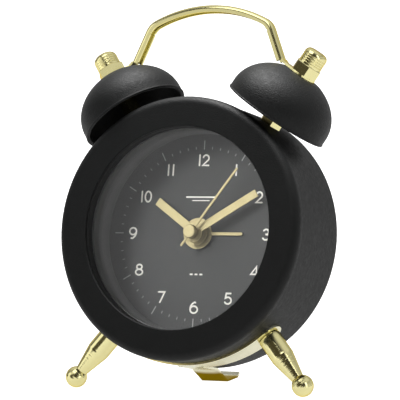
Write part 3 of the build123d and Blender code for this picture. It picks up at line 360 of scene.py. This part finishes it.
def copper_winding():
    """Enamelled copper wire: fine turns stacked along the coil."""
    wire = Shader("enamelled_copper", (0.62, 0.25, 0.10), 0.28, 0.9)
    turns = wire.math("SINE", wire.math("MULTIPLY", wire.along(DIAL_V), 2 * pi / WIRE_PITCH))
    wire.feed("Base Color", wire.blend(wire.noise(0.8, 3.0), (0.50, 0.18, 0.07), (0.72, 0.32, 0.14)))
    wire.feed("Normal", wire.bump(turns, 0.02))
    return wire.material


def wheel_acetal():
    """Natural acetal behind the dial; in front of it the tubes are coloured a deep bronze, a painted shade
    among the hands' hubs.
    """
    acetal = Shader("wheel_acetal", (0.78, 0.77, 0.70), 0.4)
    front = acetal.math("GREATER_THAN", acetal.along(DIAL_W), TUBE_FRONT_W)
    natural = acetal.blend(acetal.noise(4.0, 3.0), (0.70, 0.69, 0.62), (0.80, 0.79, 0.72))
    # Painted shade: the tubes in front of the dial are coloured dark bronze.
    acetal.feed("Base Color", acetal.blend(front, natural, (0.085, 0.06, 0.03)))
    acetal.feed("Roughness", acetal.drift(0.35, 0.46, 1.0))
    acetal.feed("Normal", acetal.bump(acetal.noise(0.3, 3.0), 0.006))
    return acetal.material


def thin_lines(shader, direction, pitch):
    """1 on thin lines square to a direction, at a pitch in millimetres, and 0 between them."""
    wave = shader.math("SINE", shader.math("MULTIPLY", shader.along(direction), 2 * pi / pitch))
    return shader.math("GREATER_THAN", wave, 0.8)


def circuit_green():
    """Solder mask over copper tracks, which show as slightly lighter raised lines."""
    board = Shader("solder_mask", (0.02, 0.12, 0.05), 0.35)
    across = thin_lines(board, DIAL_U, TRACK_PITCH)
    upright = thin_lines(board, DIAL_V, PAD_PITCH)
    tracks = board.math("MAXIMUM", across, upright)
    board.feed("Base Color", board.blend(tracks, (0.015, 0.10, 0.04), (0.04, 0.20, 0.08)))
    board.feed("Normal", board.bump(tracks, 0.03))
    return board.material


def magnet_black():
    """Plastic-bonded ferrite: dull dark grey with a coarse grain."""
    return plastic("bonded_ferrite", (0.035, 0.035, 0.038), 0.6, 0.15, 0.015)


def battery_sleeve():
    """A cell's printed sleeve in two plain bands, with bare steel at both ends."""
    cell = Shader("battery_sleeve", (0.05, 0.07, 0.16), 0.3, 0.35)
    side = cell.along(DIAL_U)
    band = cell.math("GREATER_THAN", side, CELL_BAND_U)
    sleeve = cell.blend(band, (0.03, 0.045, 0.12), (0.62, 0.42, 0.10))
    bare = cell.math("GREATER_THAN", cell.math("ABSOLUTE", side), CELL_STEEL_U)
    cell.feed("Base Color", cell.blend(bare, sleeve, (0.55, 0.55, 0.56)))
    cell.feed("Metallic", cell.map(bare, 0.0, 1.0, 0.35, 1.0))
    cell.feed("Roughness", cell.drift(0.22, 0.36, 1.0, 3.0))
    cell.feed("Normal", cell.bump(cell.noise(0.3, 2.0), 0.003))
    return cell.material


PAINT = black_paint()
# The numerals' ink has a faint painted glow that brightens them.
NUMERAL_INK = print_ink("numeral_ink", (0.95, 0.94, 0.86), 0.08)
TICK_INK = print_ink("tick_ink", (0.42, 0.42, 0.41))
FAINT_INK = print_ink("faint_ink", (0.34, 0.34, 0.34))
MARK_INK = print_ink("rear_mark_ink", (0.55, 0.55, 0.54))

SLOT_MATERIAL = {
    "black_paint": PAINT,
    "brass": brass("turned_brass", (0.73, 0.675, 0.35), turned_lines, 0.13),
    "steel": steel(),
    "lens": lens_glass(),
    "seal_rubber": plastic("seal_rubber", (0.012, 0.012, 0.012), 0.75, 0.3, 0.01),
    "black_plastic": plastic("black_plastic", (0.016, 0.016, 0.017), 0.5, 0.25, 0.015),
    "knob_plastic": plastic("knob_plastic", (0.014, 0.014, 0.015), 0.3, 0.4, 0.006),
    "dial_black": dial_face(),
    "gold_hands": hand_gold(),
    "movement_plastic": plastic("movement_plastic", (0.62, 0.62, 0.58), 0.45),
    "wheel_plastic": wheel_acetal(),
    "magnet": magnet_black(),
    "copper": copper_winding(),
    "board_green": circuit_green(),
    "battery_wrap": battery_sleeve(),
}
NODE_MATERIAL = {
    "handle": brass("rolled_brass", (0.75, 0.695, 0.35), rolled_lines, 0.12),
    # The strap's pale, nearly silver base tone is a painted reflection of the white floor.
    "stand_strap": brass("strap_brass_painted_reflection", (0.80, 0.78, 0.60), rolled_lines, 0.20, tongue=True),
    "dial_ring": ring_wall(),
}
for subpart in frame["record"]["subparts"]:
    node = subpart["node"]
    NODES[node].data.materials[0] = NODE_MATERIAL.get(node, SLOT_MATERIAL[subpart["material_slot"]])


# ================================ printed dial ================================
def arc(cx, cy, rx, ry, start, end, steps=14):
    """Points of an elliptical arc between two angles, counter-clockwise from the right."""
    turns = [radians(start + (end - start) * i / steps) for i in range(steps + 1)]
    return [(cx + rx * cos(t), cy + ry * sin(t)) for t in turns]


# Each digit has its width and its single-line strokes, in a box 1 high.
DIGITS = {
    "0": (0.64, [arc(0.32, 0.5, 0.32, 0.5, 0, 360, 40)]),
    "1": (0.32, [[(0.16, 0.0), (0.16, 1.0)]]),
    "2": (0.62, [arc(0.31, 0.70, 0.30, 0.30, 165, -38) + [(0.0, 0.0), (0.62, 0.0)]]),
    "3": (0.64, [arc(0.31, 0.755, 0.27, 0.245, 150, -88), arc(0.31, 0.265, 0.33, 0.265, 90, -155)]),
    "4": (0.76, [[(0.56, 0.0), (0.56, 1.0), (0.0, 0.27), (0.76, 0.27)]]),
    "5": (0.68, [[(0.60, 1.0), (0.14, 1.0), (0.07, 0.56)] + arc(0.33, 0.32, 0.35, 0.32, 122, -150)]),
    "6": (0.76, [
        arc(0.38, 0.33, 0.38, 0.33, 0, 360, 36),
        [(0.52, 1.0)] + arc(0.76, 0.40, 0.76, 0.70, 115, 178, 8),
    ]),
    "7": (0.66, [[(0.0, 1.0), (0.66, 1.0), (0.20, 0.0)]]),
    "8": (0.74, [arc(0.37, 0.77, 0.28, 0.23, 0, 360, 32), arc(0.37, 0.27, 0.37, 0.27, 0, 360, 36)]),
    "9": (0.72, [
        arc(0.36, 0.67, 0.36, 0.33, 0, 360, 36),
        [(0.20, 0.0)] + arc(-0.04, 0.60, 0.76, 0.70, -62, 2, 8),
    ]),
}
DIGIT_HIGH = 2.72
DIGIT_STROKE = 0.46
DIGIT_GAP = 0.54
NUMERAL_R = 19.3
NUMERAL_INWARD = {10: 0.5, 11: 0.3}
PRINT_THICK = 0.03
STROKE_STEP = 0.006  # how much thicker a digit's second stroke is, so that the two don't share a face
ROUND_END_STEPS = 5
SHARPEST_CORNER = 0.5  # a corner's outside stands out at most twice as far as the stroke's side
SAME_POINT = 1e-6
HOUR_TICK_R, HOUR_TICK_WIDTH = (22.2, 24.4), 0.27
MINUTE_TICK_R, MINUTE_TICK_WIDTH = (22.3, 22.9), 0.2
LINE_V, LINE_HALF, LINE_WIDTH = 9.6, 4.2, 0.4
SHORT_LINE_V, SHORT_LINE_HALF, SHORT_LINE_WIDTH = 8.7, 2.4, 0.25
DOTS_V, DOTS_APART, DOT_HALF, DOT_WIDTH = -10.6, 1.4, 0.25, 0.45


def round_end(centre, way, half):
    """The points of a ribbon's half-round end, from its left side to its right as it runs that way."""
    start = atan2(way.x, -way.y)
    turns = [start - pi * i / ROUND_END_STEPS for i in range(1, ROUND_END_STEPS)]
    return [centre + Vector((cos(turn), sin(turn))) * half for turn in turns]


def join_rims(shape, first, second, smooth=False):
    """Add faces between two closed rows that have the same number of corners."""
    for i in range(len(first)):
        j = (i + 1) % len(first)
        shape.faces.new((first[i], first[j], second[j], second[i])).smooth = smooth


def ribbon(shape, points, width, low_w, thick=PRINT_THICK):
    """Add a flat stroke of a constant width, along points given in u and v. An open one has round ends."""
    line = [Vector(p) for p in points]
    closed = (line[0] - line[-1]).length < SAME_POINT
    if closed:
        line.pop()
    count = len(line)
    half = width / 2
    left, right = [], []
    for i, point in enumerate(line):
        before = line[i - 1] if closed or i else None
        after = line[(i + 1) % count] if closed or i < count - 1 else None
        into = (point - before).normalized() if before is not None else None
        away = (after - point).normalized() if after is not None else None
        into, away = into or away, away or into
        middle = (into + away).normalized()
        across = Vector((-middle.y, middle.x)) * half / max(SHARPEST_CORNER, middle.dot(into))
        left.append(point + across)
        right.append(point - across)
    if closed:
        loops = [left, right]
    else:
        end = round_end(line[-1], (line[-1] - line[-2]).normalized(), half)
        start = round_end(line[0], (line[0] - line[1]).normalized(), half)
        loops = [left + end + right[::-1] + start]
    rims = []
    for loop in loops:
        low = [shape.verts.new(at(p.x, p.y, low_w)) for p in loop]
        high = [shape.verts.new(at(p.x, p.y, low_w + thick)) for p in loop]
        rims.append((low, high))
        join_rims(shape, low, high)
    if closed:
        for first, second in zip(*rims):
            join_rims(shape, first, second)
    else:
        for rim in rims[0]:
            shape.faces.new(rim)


def piece(name, shape, material):
    """Turn a mesh being built into a named piece that rides on the case."""
    bmesh.ops.recalc_face_normals(shape, faces=shape.faces[:])
    mesh = bpy.data.meshes.new(name)
    shape.to_mesh(mesh)
    shape.free()
    mesh.materials.append(material)
    made = bpy.data.objects.new(name, mesh)
    bpy.context.scene.collection.objects.link(made)
    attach(made, "case")


def on_dial(angle, radius):
    """u and v of a point of the dial, by its angle clockwise from twelve."""
    return radius * sin(radians(angle)), radius * cos(radians(angle))


def dial_numerals():
    """The numbers one to twelve, upright, on one circle; ten and eleven stand a little inward."""
    for hour in range(1, 13):
        shape = bmesh.new()
        centre_u, centre_v = on_dial(hour * 30, NUMERAL_R)
        text = str(hour)
        widths = [DIGITS[digit][0] * DIGIT_HIGH for digit in text]
        whole = sum(widths) + DIGIT_GAP * (len(text) - 1)
        left = centre_u - whole / 2 + NUMERAL_INWARD.get(hour, 0.0)
        bottom = centre_v - DIGIT_HIGH / 2
        for digit, width in zip(text, widths):
            for level, stroke in enumerate(DIGITS[digit][1]):
                points = [(left + x * DIGIT_HIGH, bottom + y * DIGIT_HIGH) for x, y in stroke]
                ribbon(shape, points, DIGIT_STROKE, 0.0, PRINT_THICK + STROKE_STEP * level)
            left += width + DIGIT_GAP
        piece(f"numeral_{hour}", shape, NUMERAL_INK)


def dial_ticks():
    """Hour lines in one piece and faint short minute lines in another."""
    hours, minutes = bmesh.new(), bmesh.new()
    for minute in range(60):
        angle = minute * 6
        if minute % 5:
            ribbon(minutes, [on_dial(angle, r) for r in MINUTE_TICK_R], MINUTE_TICK_WIDTH, 0.0)
        else:
            ribbon(hours, [on_dial(angle, r) for r in HOUR_TICK_R], HOUR_TICK_WIDTH, 0.0)
    piece("hour_ticks", hours, TICK_INK)
    piece("minute_ticks", minutes, FAINT_INK)


def dial_ornaments():
    """Two small plain ornaments: a slim double line below twelve and three dots above six."""
    upper, lower = bmesh.new(), bmesh.new()
    ribbon(upper, [(-LINE_HALF, LINE_V), (LINE_HALF, LINE_V)], LINE_WIDTH, 0.0)
    short_line = [(-SHORT_LINE_HALF, SHORT_LINE_V), (SHORT_LINE_HALF, SHORT_LINE_V)]
    ribbon(upper, short_line, SHORT_LINE_WIDTH, 0.0)
    for u in (-DOTS_APART, 0.0, DOTS_APART):
        ribbon(lower, [(u - DOT_HALF, DOTS_V), (u + DOT_HALF, DOTS_V)], DOT_WIDTH, 0.0)
    piece("ornament_upper", upper, NUMERAL_INK)
    piece("ornament_lower", lower, NUMERAL_INK)


dial_numerals()
dial_ticks()
dial_ornaments()


# ================================ signs on the back cover ================================
MARK_STROKE = 0.3
MARK_W = REAR_W - PRINT_THICK
MARK_ARROW_R = 5.0
SIGN_BEYOND_ARROW = 2.6
TIME_KNOB_AT = (9.99, 6.61)
ALARM_KNOB_AT = (-6.5, -3.75)
SWITCH_MARK_U, SWITCH_MARK_V = 6.3, 18.5
SWITCH_DOT_HALF, SWITCH_DOT_WIDTH, SWITCH_RING_R = 0.05, 1.1, 0.7
POLE_MARK_U, POLE_MARK_V, POLE_HALF, POLE_SUNK = 12.0, -22.3, 0.8, 0.004

CLOCK_SIGN = [arc(0.0, 0.0, 1.4, 1.4, 0, 360, 28), [(0.0, 0.9), (0.0, 0.0), (-0.7, 0.0)]]
BELL_SIGN = [
    arc(0.0, 0.0, 1.1, 1.3, 180, 0, 12),
    [(-1.7, -0.2), (1.7, -0.2)],
    [(-0.2, -0.9), (0.2, -0.9)],
]
ARROW_BARBS = [(-1.15, 0.55), (0.0, 0.0), (0.1, 1.25)]


def moved(points, middle):
    """Points moved so that what was at the origin is at the middle."""
    return [(u + middle[0], v + middle[1]) for u, v in points]


def rear_sign(name, strokes):
    """One printed sign. Each stroke has its points, its width and how far it is sunk into the cover."""
    shape = bmesh.new()
    for points, width, sunk in strokes:
        ribbon(shape, points, width, MARK_W + sunk)
    piece(name, shape, MARK_INK)


def knob_sign(name, knob, sign):
    """A round turning arrow over a knob, and a sign above it."""
    sweep = moved(arc(0.0, 0.0, MARK_ARROW_R, MARK_ARROW_R, 150, 40, 16), knob)
    above = (knob[0], knob[1] + MARK_ARROW_R + SIGN_BEYOND_ARROW)
    lines = [sweep, moved(ARROW_BARBS, sweep[-1])] + [moved(line, above) for line in sign]
    rear_sign(name, [(line, MARK_STROKE, 0.0) for line in lines])


def switch_signs():
    """A dot and an open ring at the two ends of the alarm switch's slot."""
    dot = moved([(-SWITCH_DOT_HALF, 0.0), (SWITCH_DOT_HALF, 0.0)], (SWITCH_MARK_U, SWITCH_MARK_V))
    ring = arc(-SWITCH_MARK_U, SWITCH_MARK_V, SWITCH_RING_R, SWITCH_RING_R, 0, 360, 24)
    rear_sign("switch_marks", [(dot, SWITCH_DOT_WIDTH, 0.0), (ring, MARK_STROKE, 0.0)])


def battery_signs():
    """Plus and minus signs below the battery door, one at each end of the bay."""
    level = [(-POLE_HALF, 0.0), (POLE_HALF, 0.0)]
    upright = [(0.0, -POLE_HALF), (0.0, POLE_HALF)]
    minus_at, plus_at = (-POLE_MARK_U, POLE_MARK_V), (POLE_MARK_U, POLE_MARK_V)
    strokes = [(moved(level, place), MARK_STROKE, 0.0) for place in (minus_at, plus_at)]
    rear_sign("battery_marks", strokes + [(moved(upright, plus_at), MARK_STROKE, POLE_SUNK)])


knob_sign("time_mark", TIME_KNOB_AT, CLOCK_SIGN)
knob_sign("alarm_mark", ALARM_KNOB_AT, BELL_SIGN)
switch_signs()
battery_signs()


# ================================ rolled bell rims ================================
def rim_bead(name, side):
    """The rolled edge around a bell's mouth, as a thin round bead."""
    shape = bmesh.new()
    turn = radians(side * BELL_ANGLE)
    outward = DIAL_U * sin(turn) + DIAL_V * cos(turn)
    across = DIAL_U * cos(turn) - DIAL_V * sin(turn)
    centre = at(0.0, 0.0, SPOKE_W) + outward * BELL_RIM_AT * MM
    loops = []
    for i in range(BEAD_STEPS):
        around = 2 * pi * i / BEAD_STEPS
        way = across * cos(around) + DIAL_W * sin(around)
        loop = []
        for j in range(BEAD_SIDES):
            bend = 2 * pi * j / BEAD_SIDES
            offset = way * (BELL_RIM_R + BEAD_R * cos(bend)) + outward * BEAD_R * sin(bend)
            loop.append(shape.verts.new(centre + offset * MM))
        loops.append(loop)
    for i, loop in enumerate(loops):
        join_rims(shape, loop, loops[(i + 1) % BEAD_STEPS], smooth=True)
    piece(name, shape, PAINT)


rim_bead("bell_bead_left", -1)
rim_bead("bell_bead_right", 1)


# ================================ floor, lights and camera ================================
FLOOR_R = 6.0
FLOOR_GLOW, FLOOR_GLOW_SEEN = 0.60, 1.2
WHITE = (1, 1, 1, 1)

# The room that the clock reflects: dark on the viewer's side and pale on the other. A share of 0 looks
# towards the viewer, and 1 away from them.
ROOM_AWAY = Vector((0.25, 0.95, 0.2)).normalized()
ROOM_TONES = ((0.34, 0.05), (0.62, 0.85))
# How bright that room is at some heights, from the horizon (0) to straight up (1).
ROOM_BANDS = ((0.0, 0.48), (0.25, 1.0), (0.45, 0.5), (0.75, 1.0))

PAINTED = (
    "case_drum", "bezel", "bell_left", "bell_right", "back_cover",
    "bell_bead_left", "bell_bead_right",
)
BRASS_PARTS = (
    "handle", "stand_strap", "foot_left", "foot_right", "cap_nut_left", "cap_nut_right",
    "collar_nut_left", "collar_nut_right", "bell_spacer_left", "bell_spacer_right",
)
FACING_FRONT = ("handle", "stand_strap", "cap_nut_left")
UPPER_LEFT = (-0.45, -0.72, 0.53)
LENS_MIRROR = (-0.448, -0.828, 0.337)
PLAIN_LIGHT, WARM_LIGHT = (1.0, 1.0, 1.0), (1.0, 0.82, 0.42)

# Each soft box: its name, its way from the dial's middle, its distance and size in metres, its radiance, the
# parts that it lights (INCLUDE) or leaves out (EXCLUDE), and its colour.
SOFT_BOXES = (
    ("key_light", UPPER_LEFT, 0.8, (0.2, 0.2), 17.0, PAINTED + BRASS_PARTS, "EXCLUDE", PLAIN_LIGHT),
    ("top_light", (-0.07, 0.02, 1.0), 0.32, (0.22, 0.22), 16.0, PAINTED, "INCLUDE", PLAIN_LIGHT),
    ("lens_panel", LENS_MIRROR, 0.8, (0.16, 0.16), 0.5, ("lens",), "INCLUDE", PLAIN_LIGHT),
    ("brass_left", (-0.85, -0.50, 0.25), 0.7, (0.40, 0.7), 1.3, BRASS_PARTS, "INCLUDE", PLAIN_LIGHT),
    ("brass_right", (0.90, -0.42, 0.20), 0.7, (0.18, 0.7), 2.6, BRASS_PARTS, "INCLUDE", PLAIN_LIGHT),
    ("brass_top", (-0.1, -0.45, 1.0), 0.6, (0.4, 0.4), 2.2, BRASS_PARTS, "INCLUDE", PLAIN_LIGHT),
    ("brass_fill", (-0.17, -0.96, 0.2), 0.7, (1.1, 0.9), 0.05, BRASS_PARTS, "INCLUDE", WARM_LIGHT),
    ("sheet_front", LENS_MIRROR, 0.7, (0.34, 0.34), 0.75, FACING_FRONT, "INCLUDE", PLAIN_LIGHT),
)


def stage_floor():
    """A wide pale floor with a faint soft grain."""
    shape = bmesh.new()
    bmesh.ops.create_circle(shape, cap_ends=True, radius=FLOOR_R, segments=96)
    mesh = bpy.data.meshes.new("floor")
    shape.to_mesh(mesh)
    shape.free()
    floor = bpy.data.objects.new("floor", mesh)
    bpy.context.scene.collection.objects.link(floor)
    pale = Shader("pale_floor", (0.9, 0.9, 0.9), 0.8, Emission_Color=WHITE)
    pale.feed("Base Color", pale.blend(pale.noise(40.0, 3.0), (0.89, 0.89, 0.89), (0.92, 0.92, 0.92)))
    seen = pale.node("LightPath").outputs["Is Camera Ray"]
    pale.feed("Emission Strength", pale.map(seen, 0.0, 1.0, FLOOR_GLOW, FLOOR_GLOW_SEEN))
    mesh.materials.append(pale.material)


def soft_box(name, way, distance, size, radiance, group, state, color):
    """A lamp of an even brightness that faces the clock, for a group of parts or for all the others."""
    lamp = bpy.data.lights.new(name, "AREA")
    lamp.color = color
    lamp.shape = "RECTANGLE"
    lamp.size, lamp.size_y = size
    lamp.energy = radiance * pi * size[0] * size[1]
    holder = bpy.data.objects.new(name, lamp)
    place = CENTRE + Vector(way).normalized() * distance
    holder.location = place
    holder.rotation_euler = (CENTRE - place).to_track_quat("-Z", "Y").to_euler()
    bpy.context.scene.collection.objects.link(holder)
    parts = bpy.data.collections.new(name + "_parts")
    for part in group:
        parts.objects.link(bpy.data.objects[part])
    for member in parts.collection_objects:
        member.light_linking.link_state = state
    holder.light_linking.receiver_collection = parts


def gray_ramp(tree, source, stops):
    """A gray that follows a source through stops, each a position and a brightness."""
    ramp = tree.nodes.new("ShaderNodeValToRGB")
    elements = ramp.color_ramp.elements
    for i, (position, gray) in enumerate(stops):
        element = elements[i] if i < len(elements) else elements.new(position)
        element.position = position
        element.color = (gray, gray, gray, 1)
    tree.links.new(source, ramp.inputs[0])
    return ramp.outputs[0]


def studio_world():
    """The room that the clock reflects, and plain white where the camera looks past the clock."""
    world = bpy.data.worlds.new("studio")
    bpy.context.scene.world = world
    world.use_nodes = True
    tree = world.node_tree
    tree.nodes.clear()
    direction = tree.nodes.new("ShaderNodeTexCoord").outputs["Generated"]
    away = tree.nodes.new("ShaderNodeVectorMath")
    away.operation = "DOT_PRODUCT"
    away.inputs[1].default_value = ROOM_AWAY
    tree.links.new(direction, away.inputs[0])
    share = tree.nodes.new("ShaderNodeMapRange")
    share.inputs["From Min"].default_value = -1.0
    tree.links.new(away.outputs["Value"], share.inputs["Value"])
    height = tree.nodes.new("ShaderNodeSeparateXYZ")
    tree.links.new(direction, height.inputs[0])
    room = tree.nodes.new("ShaderNodeBackground")
    tree.links.new(gray_ramp(tree, share.outputs[0], ROOM_TONES), room.inputs["Color"])
    tree.links.new(gray_ramp(tree, height.outputs["Z"], ROOM_BANDS), room.inputs["Strength"])
    seen = tree.nodes.new("ShaderNodeBackground")
    seen.inputs["Color"].default_value = WHITE
    seen.inputs["Strength"].default_value = 1.0
    path = tree.nodes.new("ShaderNodeLightPath")
    choice = tree.nodes.new("ShaderNodeMixShader")
    tree.links.new(path.outputs["Is Camera Ray"], choice.inputs[0])
    tree.links.new(room.outputs[0], choice.inputs[1])
    tree.links.new(seen.outputs[0], choice.inputs[2])
    out = tree.nodes.new("ShaderNodeOutputWorld")
    tree.links.new(choice.outputs[0], out.inputs[0])


def main_camera():
    """A long lens from the right of the dial and a little above, rolled slightly."""
    lens = bpy.data.cameras.new("camera")
    lens.lens = CAMERA_LENS
    lens.clip_end = CAMERA_REACH
    camera = bpy.data.objects.new("camera", lens)
    azimuth, elevation = radians(CAMERA_AZIMUTH), radians(CAMERA_ELEVATION)
    way = Vector((sin(azimuth) * cos(elevation), -cos(azimuth) * cos(elevation), sin(elevation)))
    place = CENTRE + way * CAMERA_DISTANCE * MM
    turn = Euler((radians(90 + CAMERA_PITCH), 0, radians(CAMERA_YAW))).to_matrix().to_4x4()
    camera.matrix_world = Matrix.Translation(place) @ turn @ Matrix.Rotation(radians(CAMERA_ROLL), 4, "Z")
    bpy.context.scene.collection.objects.link(camera)
    bpy.context.scene.camera = camera


stage_floor()
studio_world()
for box in SOFT_BOXES:
    soft_box(*box)
main_camera()
bpy.context.scene.view_settings.view_transform = "Standard"
